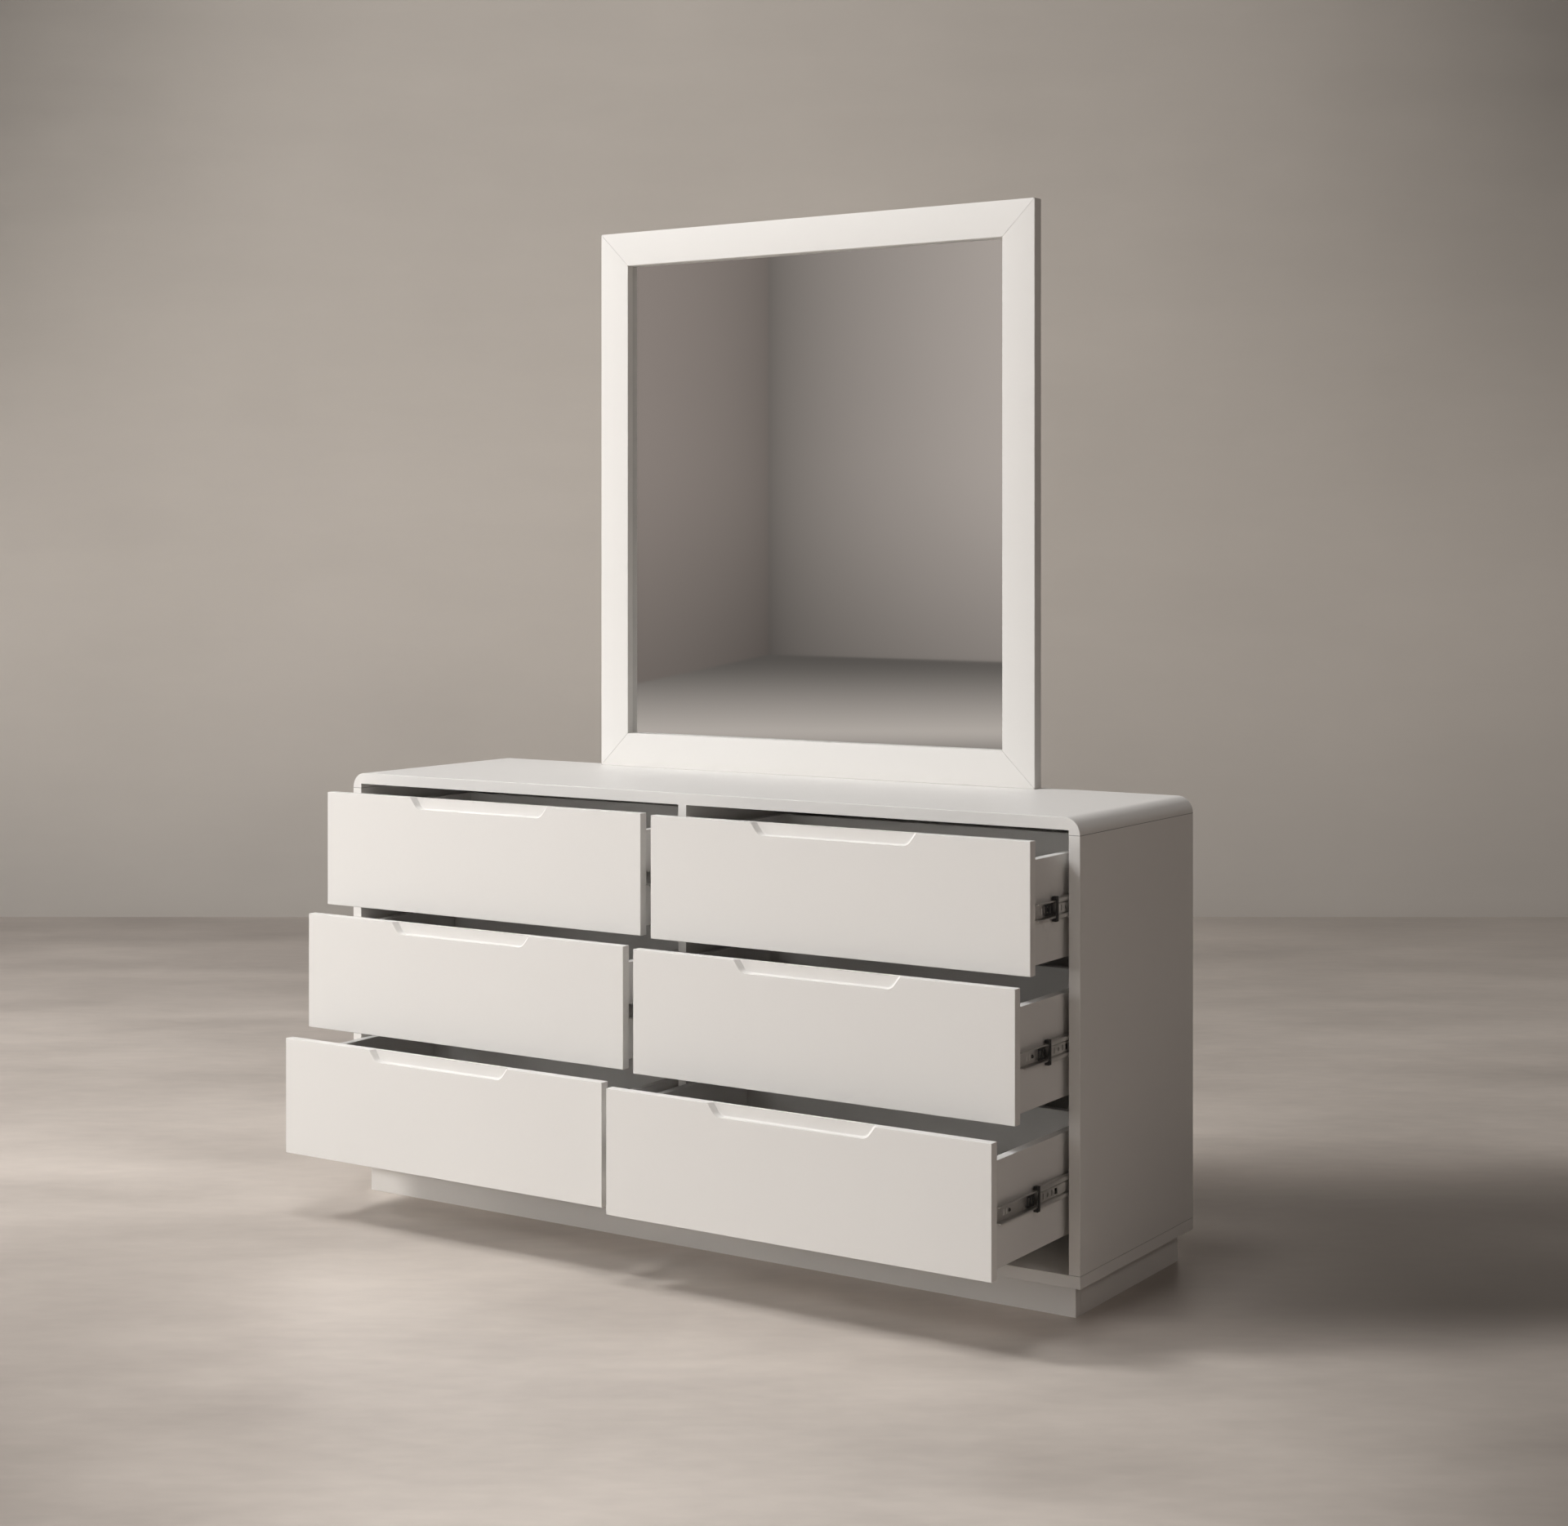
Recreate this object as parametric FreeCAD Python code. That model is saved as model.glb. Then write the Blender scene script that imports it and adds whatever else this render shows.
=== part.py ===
import FreeCAD, Part
import math
import os

# Dresser with a framed mirror: a lacquered case on a recessed plinth, six inset
# drawers on full-extension ball slides, and a mitred mirror held by two posts.
# Millimetres, +Z up, +X to the right, +Y to the back. The origin is on the floor,
# in the middle of the plinth. Shapes are drawn with Y measured from the front face
# of the case and are moved to that origin when they are written.

# case
CASE_WIDTH = 1600.0
CASE_DEPTH = 450.0
CASE_HEIGHT = 830.0
PANEL = 21.0
DIVIDER = 18.0
TOP_END_RADIUS = 29.0
EDGE_EASE = 1.0
BACK_THICKNESS = 6.0
BACK_INSET = 4.0

# plinth
PLINTH_HEIGHT = 56.0
PLINTH_BOARD = 18.0
PLINTH_FRONT_INSET = 28.0
PLINTH_REAR_INSET = 18.0
PLINTH_SIDE_INSET = 22.0
PLINTH_BEARER = 50.0

# drawer fronts
FRONT_THICKNESS = 18.0
FRONT_SIDE_GAP = 8.0
FRONT_TOP_GAP = 8.0
FRONT_ROW_GAP = 12.0
FRONT_BOTTOM_GAP = 46.0
ROW_NAMES = ["top", "middle", "bottom"]
COLUMN_NAMES = ["left", "right"]

# how far the drawers stand open at rest: each row from the top down, left then right
OPEN_AT_REST = [[104.0, 120.0], [156.0, 172.0], [218.0, 250.0]]

# finger recess along the top edge of each front
RECESS_LENGTH = 330.0
RECESS_HEIGHT = 22.0
RECESS_DEPTH = 10.0
RECESS_COVE = 2.5
RECESS_END_ANGLE = 53.0
RECESS_END_SPLAY = 35.0
RECESS_CORNER_RADIUS = 20.0

# drawer boxes
BOX_BOARD = 16.0
BOX_BELOW_FRONT_TOP = 32.0
BOX_ABOVE_FRONT_BOTTOM = 15.0
BOX_EASE = 0.6
BOX_BOTTOM_THICKNESS = 6.0
BOX_BOTTOM_RISE = 8.0
BOX_GROOVE_DEPTH = 6.0
GROOVE_CLEARANCE = 0.2
SPACE_BEHIND_BOX = 19.0

# ball slides, three members each
SLIDE_THICKNESS = 12.7
SLIDE_STEEL = 1.2
SLIDE_SETBACK = 3.0
SLIDE_RUNNING_GAP = 0.6
SLIDE_LIP = 1.5
CASE_MEMBER_HEIGHT = 45.0
MIDDLE_MEMBER_HEIGHT = 35.0
DRAWER_MEMBER_HEIGHT = 26.0
SLIDE_SLOT_LENGTH = 10.0
SLIDE_SLOT_WIDTH = 4.0
SLIDE_HOLE_DIAMETER = 6.5
SLIDE_WINDOW = 10.0
MIDDLE_FIRST_SLOT = 14.0
MIDDLE_SLOT_PITCH = 15.0
DRAWER_FIRST_SLOT = 26.0
DRAWER_SLOT_PITCH = 9.0
DRAWER_SLOTS = 3
CASE_SLOTS = 4
END_STOP_LENGTH = 7.0
END_STOP_WALL = 1.2

# mirror
MIRROR_WIDTH = 1000.0
MIRROR_HEIGHT = 1090.0
MIRROR_THICKNESS = 26.0
MIRROR_FACE = 68.0
MIRROR_SETBACK = 8.0
MIRROR_EASE = 1.6
REBATE_WIDTH = 12.0
REBATE_DEPTH = 9.5
GLASS_THICKNESS = 5.0
GLASS_CLEARANCE = 1.0
BACKBOARD_THICKNESS = 4.0

# posts that hold the mirror upright
POST_WIDTH = 50.0
POST_THICKNESS = 18.0
POST_INSET = 20.0
POST_FOOT = 40.0
POST_ABOVE_CASE = 650.0

# fixings
SCREW_DIAMETER = 4.0
SCREW_HEAD_DIAMETER = 8.0
SCREW_HEAD_HEIGHT = 2.4
SCREW_INTO_CASE = 30.0
SCREW_INTO_MIRROR = 12.0
SCREWS_PER_MIRROR_SIDE = 3
SCREW_END_MARGIN = 70.0
DOWEL_DIAMETER = 8.0
DOWEL_LENGTH = 26.0
DOWELS_PER_JOINT = 4
DOWEL_END_MARGIN = 45.0
HOLE_CLEARANCE = 0.15

# how far a cut runs past the face it starts from
CUT_OVERRUN = 5.0

# places that follow from the sizes above
HALF_WIDTH = CASE_WIDTH / 2
INNER_HALF_WIDTH = HALF_WIDTH - PANEL
FLOOR_OF_CASE = PLINTH_HEIGHT + PANEL
ROOF_OF_CASE = CASE_HEIGHT - PANEL
SEAM_HEIGHT = CASE_HEIGHT - TOP_END_RADIUS
BACK_PANEL_FRONT = CASE_DEPTH - BACK_INSET - BACK_THICKNESS
PLINTH_DEPTH = CASE_DEPTH - PLINTH_FRONT_INSET - PLINTH_REAR_INSET
ORIGIN_Y = PLINTH_FRONT_INSET + PLINTH_DEPTH / 2
GAPS_TOGETHER = FRONT_TOP_GAP + 2 * FRONT_ROW_GAP + FRONT_BOTTOM_GAP
FRONT_HEIGHT = (ROOF_OF_CASE - FLOOR_OF_CASE - GAPS_TOGETHER) / len(ROW_NAMES)
BAY_WIDTH = INNER_HALF_WIDTH - DIVIDER / 2
FRONT_WIDTH = BAY_WIDTH - 2 * FRONT_SIDE_GAP
BOX_WIDTH = BAY_WIDTH - 2 * SLIDE_THICKNESS
BOX_DEPTH = BACK_PANEL_FRONT - SPACE_BEHIND_BOX - FRONT_THICKNESS
BOX_HEIGHT = FRONT_HEIGHT - BOX_BELOW_FRONT_TOP - BOX_ABOVE_FRONT_BOTTOM
SLIDE_START = FRONT_THICKNESS + SLIDE_SETBACK
SLIDE_LENGTH = BOX_DEPTH - SLIDE_SETBACK
MIRROR_BACK = CASE_DEPTH - MIRROR_SETBACK
MIRROR_FRONT = MIRROR_BACK - MIRROR_THICKNESS
POST_CENTRE_X = MIRROR_WIDTH / 2 - POST_INSET - POST_WIDTH / 2
POST_TOP = CASE_HEIGHT + POST_ABOVE_CASE
POST_BACK = CASE_DEPTH + POST_THICKNESS


def vector(x, y, z):
    return FreeCAD.Vector(x, y, z)


def block(x0, x1, y0, y1, z0, z1):
    """A box between two corners."""
    return Part.makeBox(x1 - x0, y1 - y0, z1 - z0, vector(x0, y0, z0))


def ease(shape, radius, wanted=None):
    """Round the edges that wanted(centre) accepts, or all of them."""
    edges = [e for e in shape.Edges if wanted is None or wanted(e.CenterOfMass)]
    return shape.makeFillet(radius, edges)


def near(a, b):
    return abs(a - b) < 1e-6


def save(name, solids):
    """Write one node, moved from the case's front face to the origin."""
    moved = [s.translated(vector(0, -ORIGIN_Y, 0)) for s in solids]
    for solid in moved:
        if not solid.isValid() or len(solid.Solids) != 1:
            raise ValueError("bad solid in " + name)
    shape = moved[0] if len(moved) == 1 else Part.makeCompound(moved)
    shape.exportStep("parts/" + name + ".step")


# ---------------------------------------------------------------- dowels

def joint_places():
    """X and Z of the middle of every dowelled joint: side and divider ends."""
    board_middle = HALF_WIDTH - PANEL / 2
    outer = [(s * board_middle, z) for s in (-1, 1) for z in (FLOOR_OF_CASE, SEAM_HEIGHT)]
    return outer + [(0.0, FLOOR_OF_CASE), (0.0, ROOF_OF_CASE)]


def dowels(clearance=0.0):
    """Upright dowels across every joint, or the holes for them."""
    radius = DOWEL_DIAMETER / 2 + clearance
    length = DOWEL_LENGTH + 2 * clearance
    pitch = (CASE_DEPTH - 2 * DOWEL_END_MARGIN) / (DOWELS_PER_JOINT - 1)
    pins = []
    for x, z in joint_places():
        for i in range(DOWELS_PER_JOINT):
            base = vector(x, DOWEL_END_MARGIN + i * pitch, z - length / 2)
            pins.append(Part.makeCylinder(radius, length, base))
    return pins


def bored(shape):
    """Cut the dowel and screw holes that reach a board."""
    holes = dowels(HOLE_CLEARANCE) + support_screws(HOLE_CLEARANCE)
    box = shape.BoundBox
    reach = [h for h in holes if h.BoundBox.intersect(box)]
    return shape.cut(Part.makeCompound(reach)).Solids[0] if reach else shape


# ---------------------------------------------------------------- case

def top_panel():
    """The top board, whose two ends turn down in a round to meet the sides."""
    outer, inner = HALF_WIDTH, INNER_HALF_WIDTH
    radius = TOP_END_RADIUS
    rise = radius * math.sin(math.radians(45))
    left_mid = vector(-outer + radius - rise, 0, SEAM_HEIGHT + rise)
    right_mid = vector(outer - radius + rise, 0, SEAM_HEIGHT + rise)
    left_foot = vector(-outer, 0, SEAM_HEIGHT)
    left_top = vector(-outer + radius, 0, CASE_HEIGHT)
    right_top = vector(outer - radius, 0, CASE_HEIGHT)
    right_foot = vector(outer, 0, SEAM_HEIGHT)
    under = [
        right_foot,
        vector(inner, 0, SEAM_HEIGHT),
        vector(inner, 0, ROOF_OF_CASE),
        vector(-inner, 0, ROOF_OF_CASE),
        vector(-inner, 0, SEAM_HEIGHT),
        left_foot,
    ]
    edges = [
        Part.Arc(left_foot, left_mid, left_top).toShape(),
        Part.LineSegment(left_top, right_top).toShape(),
        Part.Arc(right_top, right_mid, right_foot).toShape(),
    ]
    for a, b in zip(under, under[1:]):
        edges.append(Part.LineSegment(a, b).toShape())
    board = Part.Face(Part.Wire(edges)).extrude(vector(0, CASE_DEPTH, 0))

    def on_rim(c):
        on_end = near(c.y, 0) or near(c.y, CASE_DEPTH)
        outside = c.z > ROOF_OF_CASE + PANEL / 2 or abs(c.x) > outer - radius / 2
        return on_end and outside and not near(c.z, SEAM_HEIGHT)

    return bored(ease(board, EDGE_EASE, on_rim))


def side_panel(side):
    """An upright end board between the bottom board and the turned-down top."""
    xs = sorted([side * HALF_WIDTH, side * INNER_HALF_WIDTH])
    board = block(xs[0], xs[1], 0, CASE_DEPTH, FLOOR_OF_CASE, SEAM_HEIGHT)
    return bored(ease(board, EDGE_EASE, lambda c: near(abs(c.x), HALF_WIDTH) or near(c.y, 0)))


def bottom_panel():
    """The bottom board, which runs under both sides."""
    board = block(-HALF_WIDTH, HALF_WIDTH, 0, CASE_DEPTH, PLINTH_HEIGHT, FLOOR_OF_CASE)
    return bored(ease(board, EDGE_EASE))


def centre_divider():
    """The upright board between the two columns of drawers."""
    half = DIVIDER / 2
    board = block(-half, half, 0, BACK_PANEL_FRONT, FLOOR_OF_CASE, ROOF_OF_CASE)
    return bored(ease(board, EDGE_EASE, lambda c: near(c.y, 0) and not near(c.x, 0)))


def back_panel():
    """The thin back, set in between the sides, top and bottom."""
    y0 = BACK_PANEL_FRONT
    return block(-INNER_HALF_WIDTH, INNER_HALF_WIDTH, y0, y0 + BACK_THICKNESS,
                 FLOOR_OF_CASE, ROOF_OF_CASE)


def plinth_rails():
    """The front and rear boards of the recessed plinth."""
    x = HALF_WIDTH - PLINTH_SIDE_INSET
    rails = []
    for y0 in (PLINTH_FRONT_INSET, CASE_DEPTH - PLINTH_REAR_INSET - PLINTH_BOARD):
        board = block(-x, x, y0, y0 + PLINTH_BOARD, 0, PLINTH_HEIGHT)
        rails.append(ease(board, EDGE_EASE, lambda c: near(abs(c.x), x) and near(c.z, PLINTH_HEIGHT / 2)))
    return rails


def plinth_crosspieces():
    """The end boards of the plinth and the bearer under the divider."""
    y0 = PLINTH_FRONT_INSET + PLINTH_BOARD
    y1 = CASE_DEPTH - PLINTH_REAR_INSET - PLINTH_BOARD
    outer = HALF_WIDTH - PLINTH_SIDE_INSET
    inner = outer - PLINTH_BOARD
    half = PLINTH_BEARER / 2
    spans = [(-outer, -inner), (-half, half), (inner, outer)]
    return [block(x0, x1, y0, y1, 0, PLINTH_HEIGHT) for x0, x1 in spans]


# ---------------------------------------------------------------- drawers

def bay_centre(column):
    """X of the middle of a column of drawers."""
    return (column * 2 - 1) * (DIVIDER / 2 + BAY_WIDTH / 2)


def front_top(row):
    """Height of the top edge of a drawer front."""
    return ROOF_OF_CASE - FRONT_TOP_GAP - row * (FRONT_HEIGHT + FRONT_ROW_GAP)


def recess_tool():
    """The routed finger recess, about X = 0, below Z = 0 and behind Y = 0.

    Its ends lean outwards as they rise, and splay outwards towards the face."""
    above = CUT_OVERRUN
    lean = 1 / math.tan(math.radians(RECESS_END_ANGLE))
    foot = RECESS_LENGTH / 2 - RECESS_HEIGHT * lean
    head = RECESS_LENGTH / 2 + above * lean
    corners = [vector(-head, 0, above), vector(-foot, 0, -RECESS_HEIGHT),
               vector(foot, 0, -RECESS_HEIGHT), vector(head, 0, above)]
    slab = Part.Face(Part.makePolygon(corners + [corners[0]])).extrude(vector(0, RECESS_DEPTH, 0))
    slab = ease(slab, RECESS_CORNER_RADIUS,
                lambda c: near(c.y, RECESS_DEPTH / 2) and near(c.z, -RECESS_HEIGHT))
    outline = next(f for f in slab.Faces if near(f.CenterOfMass.y, 0))
    inward = RECESS_DEPTH * math.tan(math.radians(RECESS_END_SPLAY))
    left_end = outline.extrude(vector(inward, RECESS_DEPTH, 0))
    right_end = outline.extrude(vector(-inward, RECESS_DEPTH, 0))
    tool = left_end.common(right_end).Solids[0]
    return ease(tool, RECESS_COVE, lambda c: near(c.y, RECESS_DEPTH) and c.z < above - 1e-6)


def drawer_front(row, column):
    """A lacquered front with its finger recess, shut flush with the case."""
    x, z = bay_centre(column), front_top(row)
    half = FRONT_WIDTH / 2
    board = ease(block(x - half, x + half, 0, FRONT_THICKNESS, z - FRONT_HEIGHT, z), EDGE_EASE)
    return board.cut(recess_tool().translated(vector(x, 0, z))).Solids[0]


def box_span(row):
    """Bottom and top of a drawer box."""
    top = front_top(row) - BOX_BELOW_FRONT_TOP
    return top - BOX_HEIGHT, top


def box_bottom_height(row):
    """Underside of the drawer's bottom sheet."""
    return box_span(row)[0] + BOX_BOTTOM_RISE


def box_side(row, column, side):
    """One side of a drawer box, grooved for the bottom sheet."""
    z0, z1 = box_span(row)
    outer = bay_centre(column) + side * BOX_WIDTH / 2
    inner = outer - side * BOX_BOARD
    y0, y1 = FRONT_THICKNESS, FRONT_THICKNESS + BOX_DEPTH
    board = ease(block(*sorted([outer, inner]), y0, y1, z0, z1), BOX_EASE)
    groove_foot = box_bottom_height(row) - GROOVE_CLEARANCE / 2
    groove_head = groove_foot + BOX_BOTTOM_THICKNESS + GROOVE_CLEARANCE
    wall = inner + side * BOX_GROOVE_DEPTH
    over = inner - side * BOX_EASE
    return board.cut(block(*sorted([over, wall]), y0, y1, groove_foot, groove_head)).Solids[0]


def box_back(row, column):
    """The back of a drawer box, standing on the bottom sheet."""
    z0 = box_bottom_height(row) + BOX_BOTTOM_THICKNESS
    z1 = box_span(row)[1]
    x = bay_centre(column)
    half = BOX_WIDTH / 2 - BOX_BOARD
    y1 = FRONT_THICKNESS + BOX_DEPTH
    return block(x - half, x + half, y1 - BOX_BOARD, y1, z0, z1)


def box_bottom(row, column):
    """The bottom sheet, held in the grooves of the two sides."""
    z0 = box_bottom_height(row)
    x = bay_centre(column)
    half = BOX_WIDTH / 2 - BOX_BOARD + BOX_GROOVE_DEPTH - GROOVE_CLEARANCE
    return block(x - half, x + half, FRONT_THICKNESS, FRONT_THICKNESS + BOX_DEPTH,
                 z0, z0 + BOX_BOTTOM_THICKNESS)


# ---------------------------------------------------------------- slides

def channel(start, depth, height, lip_inward, y0):
    """A steel channel from y0 back: its web at X = start, its legs depth long.

    A negative depth points the legs the other way. The lips at the ends of the
    legs turn in towards the middle of the channel or out from it.
    """
    way = 1 if depth > 0 else -1
    half, steel = height / 2, SLIDE_STEEL
    y1 = SLIDE_START + SLIDE_LENGTH
    end = start + depth

    def bar(xa, xb, za, zb):
        return block(*sorted([xa, xb]), y0, y1, *sorted([za, zb]))

    pieces = [bar(start, start + way * steel, -half, half)]
    for up in (-1, 1):
        pieces.append(bar(start, end, up * half, up * (half - steel)))
        lip_from = half - steel if lip_inward else half
        lip_to = lip_from - SLIDE_LIP if lip_inward else half + SLIDE_LIP
        pieces.append(bar(end, end - way * steel, up * lip_from, up * lip_to))
    return pieces[0].fuse(pieces[1:]).removeSplitter().Solids[0]


def slot(y, length, height):
    """A slot through a web near X = 0, centred on y."""
    reach = SLIDE_THICKNESS / 4
    return block(-reach, reach, y - length / 2, y + length / 2, -height / 2, height / 2)


def hole(y, diameter):
    """A round hole through a web near X = 0, centred on y."""
    reach = SLIDE_THICKNESS / 4
    return Part.makeCylinder(diameter / 2, 2 * reach, vector(-reach, y, 0), vector(1, 0, 0))


def punched(member, x, cuts):
    """Punch holes through the web that stands at x."""
    placed = [c.translated(vector(x, 0, 0)) for c in cuts]
    return member.cut(Part.makeCompound(placed)).Solids[0]


def case_member():
    """The member on the case wall; X runs from the wall towards the drawer."""
    legs = SLIDE_THICKNESS - SLIDE_STEEL
    member = channel(0, legs, CASE_MEMBER_HEIGHT, True, SLIDE_START)
    pitch = SLIDE_LENGTH / CASE_SLOTS
    places = [SLIDE_START + pitch * (i + 0.5) for i in range(CASE_SLOTS)]
    cuts = [slot(y, SLIDE_SLOT_LENGTH, SLIDE_SLOT_WIDTH) for y in places]
    return punched(member, 0, cuts)


def middle_web():
    """How far the web of the middle member stands off the case wall."""
    return SLIDE_STEEL + SLIDE_RUNNING_GAP


def middle_member():
    """The member between the two others, punched near its front end."""
    legs = SLIDE_THICKNESS - 2 * SLIDE_STEEL - middle_web()
    start = SLIDE_START + END_STOP_LENGTH
    member = channel(middle_web(), legs, MIDDLE_MEMBER_HEIGHT, False, start)
    first = start + MIDDLE_FIRST_SLOT
    places = [first + i * MIDDLE_SLOT_PITCH for i in range(4)]
    cuts = [
        slot(places[0], SLIDE_SLOT_WIDTH, SLIDE_SLOT_LENGTH),
        hole(places[1], SLIDE_HOLE_DIAMETER),
        slot(places[2], SLIDE_SLOT_WIDTH, SLIDE_SLOT_LENGTH),
        slot(places[3], SLIDE_WINDOW, SLIDE_WINDOW),
    ]
    return punched(member, middle_web(), cuts)


def end_stop():
    """The plastic stop on the front end of the middle member."""
    half = CASE_MEMBER_HEIGHT / 2 - SLIDE_STEEL - SLIDE_RUNNING_GAP
    hollow = DRAWER_MEMBER_HEIGHT / 2 + SLIDE_LIP + SLIDE_RUNNING_GAP
    x0 = middle_web()
    x1 = SLIDE_THICKNESS - 2 * SLIDE_STEEL - SLIDE_RUNNING_GAP
    y0, y1 = SLIDE_START, SLIDE_START + END_STOP_LENGTH
    cap = block(x0, x1, y0, y1, -half, half)
    inside = block(x0 + END_STOP_WALL, x1, y0, y1, -hollow, hollow)
    return cap.cut(inside).Solids[0]


def drawer_member():
    """The member on the drawer box, its channel open to the case wall."""
    start = SLIDE_THICKNESS
    legs = SLIDE_THICKNESS - 2 * SLIDE_STEEL - 2 * SLIDE_RUNNING_GAP
    member = channel(start, -legs, DRAWER_MEMBER_HEIGHT, False, SLIDE_START)
    first = SLIDE_START + DRAWER_FIRST_SLOT
    places = [first + i * DRAWER_SLOT_PITCH for i in range(DRAWER_SLOTS)]
    places.append(SLIDE_START + SLIDE_LENGTH / 2)
    cuts = [slot(y, SLIDE_SLOT_WIDTH, SLIDE_SLOT_LENGTH) for y in places]
    return punched(member, start, cuts)


def slide_height(row):
    """Height of the middle of a drawer's slides."""
    return sum(box_span(row)) / 2


def pair_of(member, row, column):
    """A member at both walls of a bay; it is drawn with X = 0 on the wall."""
    z = slide_height(row)
    placed = []
    for side in (-1, 1):
        wall = bay_centre(column) + side * BAY_WIDTH / 2
        solid = member.copy()
        if side == 1:
            solid = solid.mirror(vector(0, 0, 0), vector(1, 0, 0))
        placed.append(solid.translated(vector(wall, 0, z)))
    return placed


# ---------------------------------------------------------------- mirror

def frame_member(length):
    """A mitred frame member along +X, its outer edge at Z = 0, its face at Y = 0."""
    half = length / 2
    depth, face = MIRROR_THICKNESS, MIRROR_FACE
    bar = block(-half, half, 0, depth, 0, face)
    bar = ease(bar, MIRROR_EASE, lambda c: near(c.x, 0) and (near(c.y, 0) or near(c.z, 0)))
    step = block(-half, half, depth - REBATE_DEPTH, depth, face - REBATE_WIDTH, face)
    corner = Part.makePolygon([vector(half, 0, 0), vector(half - face, 0, face),
                               vector(-half + face, 0, face), vector(-half, 0, 0),
                               vector(half, 0, 0)])
    mitred = Part.Face(corner).extrude(vector(0, depth, 0))
    return bar.cut(step).common(mitred).Solids[0]


def frame_part(length, turn, x, z):
    """A frame member turned about Y and set with its outer edge through (x, z)."""
    member = frame_member(length)
    member.rotate(vector(0, 0, 0), vector(0, 1, 0), turn)
    return bored(member.translated(vector(x, MIRROR_FRONT, z)))


def pane(thickness, front):
    """A sheet in the frame's rebate."""
    inset = MIRROR_FACE - REBATE_WIDTH + GLASS_CLEARANCE
    half = MIRROR_WIDTH / 2 - inset
    return block(-half, half, front, front + thickness,
                 CASE_HEIGHT + inset, CASE_HEIGHT + MIRROR_HEIGHT - inset)


def mirror_posts():
    """Two posts screwed to the back of the case, stepped forward above it."""
    posts = []
    for side in (-1, 1):
        x0 = side * POST_CENTRE_X - POST_WIDTH / 2
        x1 = x0 + POST_WIDTH
        low = block(x0, x1, CASE_DEPTH, POST_BACK, POST_FOOT, CASE_HEIGHT)
        high = block(x0, x1, MIRROR_BACK, POST_BACK, CASE_HEIGHT, POST_TOP)
        posts.append(bored(low.fuse(high).removeSplitter().Solids[0]))
    return posts


def screw(x, z, depth, grow):
    """A countersunk screw driven forward from the back of a post."""
    forward = vector(0, -1, 0)
    radius = SCREW_DIAMETER / 2 + grow
    head_radius = SCREW_HEAD_DIAMETER / 2 + grow
    head = vector(x, POST_BACK, z)
    shank = Part.makeCylinder(radius, depth + grow, head, forward)
    cone = Part.makeCone(head_radius, radius, SCREW_HEAD_HEIGHT, head, forward)
    return shank.fuse(cone).removeSplitter().Solids[0]


def support_screws(clearance=0.0):
    """The screws of both posts, or the holes for them."""
    screws = []
    span = POST_TOP - CASE_HEIGHT - 2 * SCREW_END_MARGIN
    pitch = span / (SCREWS_PER_MIRROR_SIDE - 1)
    for side in (-1, 1):
        x = side * POST_CENTRE_X
        for z in (PLINTH_HEIGHT + PANEL / 2, CASE_HEIGHT - PANEL / 2):
            screws.append(screw(x, z, POST_THICKNESS + SCREW_INTO_CASE, clearance))
        for i in range(SCREWS_PER_MIRROR_SIDE):
            z = CASE_HEIGHT + SCREW_END_MARGIN + i * pitch
            depth = POST_BACK - MIRROR_BACK + SCREW_INTO_MIRROR
            screws.append(screw(x, z, depth, clearance))
    return screws


# ---------------------------------------------------------------- the whole

def save_case():
    save("top_panel", [top_panel()])
    save("side_panel_left", [side_panel(-1)])
    save("side_panel_right", [side_panel(1)])
    save("bottom_panel", [bottom_panel()])
    save("centre_divider", [centre_divider()])
    save("back_panel", [back_panel()])
    save("plinth_rails", plinth_rails())
    save("plinth_crosspieces", plinth_crosspieces())
    save("case_dowels", dowels())


def save_mirror():
    top = CASE_HEIGHT + MIRROR_HEIGHT
    middle = CASE_HEIGHT + MIRROR_HEIGHT / 2
    half = MIRROR_WIDTH / 2
    glass_front = MIRROR_BACK - REBATE_DEPTH
    save("mirror_frame_bottom", [frame_part(MIRROR_WIDTH, 0, 0, CASE_HEIGHT)])
    save("mirror_frame_top", [frame_part(MIRROR_WIDTH, 180, 0, top)])
    save("mirror_frame_left", [frame_part(MIRROR_HEIGHT, 90, -half, middle)])
    save("mirror_frame_right", [frame_part(MIRROR_HEIGHT, -90, half, middle)])
    save("mirror_glass", [pane(GLASS_THICKNESS, glass_front)])
    save("mirror_backboard", [pane(BACKBOARD_THICKNESS, glass_front + GLASS_THICKNESS)])
    save("mirror_support_posts", mirror_posts())
    save("mirror_support_screws", support_screws())


def save_drawer(row, column):
    """One drawer, drawn shut and written as far open as it stands at rest."""
    name = ROW_NAMES[row] + "_" + COLUMN_NAMES[column]
    open_by = OPEN_AT_REST[row][column]
    middle = pair_of(middle_member(), row, column) + pair_of(end_stop(), row, column)

    def pulled(solids, share):
        return [s.translated(vector(0, -open_by * share, 0)) for s in solids]

    save(name + "_drawer_front", pulled([drawer_front(row, column)], 1.0))
    save(name + "_drawer_side_left", pulled([box_side(row, column, -1)], 1.0))
    save(name + "_drawer_side_right", pulled([box_side(row, column, 1)], 1.0))
    save(name + "_drawer_back", pulled([box_back(row, column)], 1.0))
    save(name + "_drawer_bottom", pulled([box_bottom(row, column)], 1.0))
    save(name + "_drawer_slides", pulled(pair_of(drawer_member(), row, column), 1.0))
    save(name + "_middle_slides", pulled(middle, 0.5))


os.makedirs("parts", exist_ok=True)
save_case()
save_mirror()
case_members = []
for row_number in range(len(ROW_NAMES)):
    for column_number in range(len(COLUMN_NAMES)):
        save_drawer(row_number, column_number)
        case_members += pair_of(case_member(), row_number, column_number)
save("case_slides", case_members)
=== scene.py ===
import bmesh
import bpy
import math
from mathutils import Matrix, Vector


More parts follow.
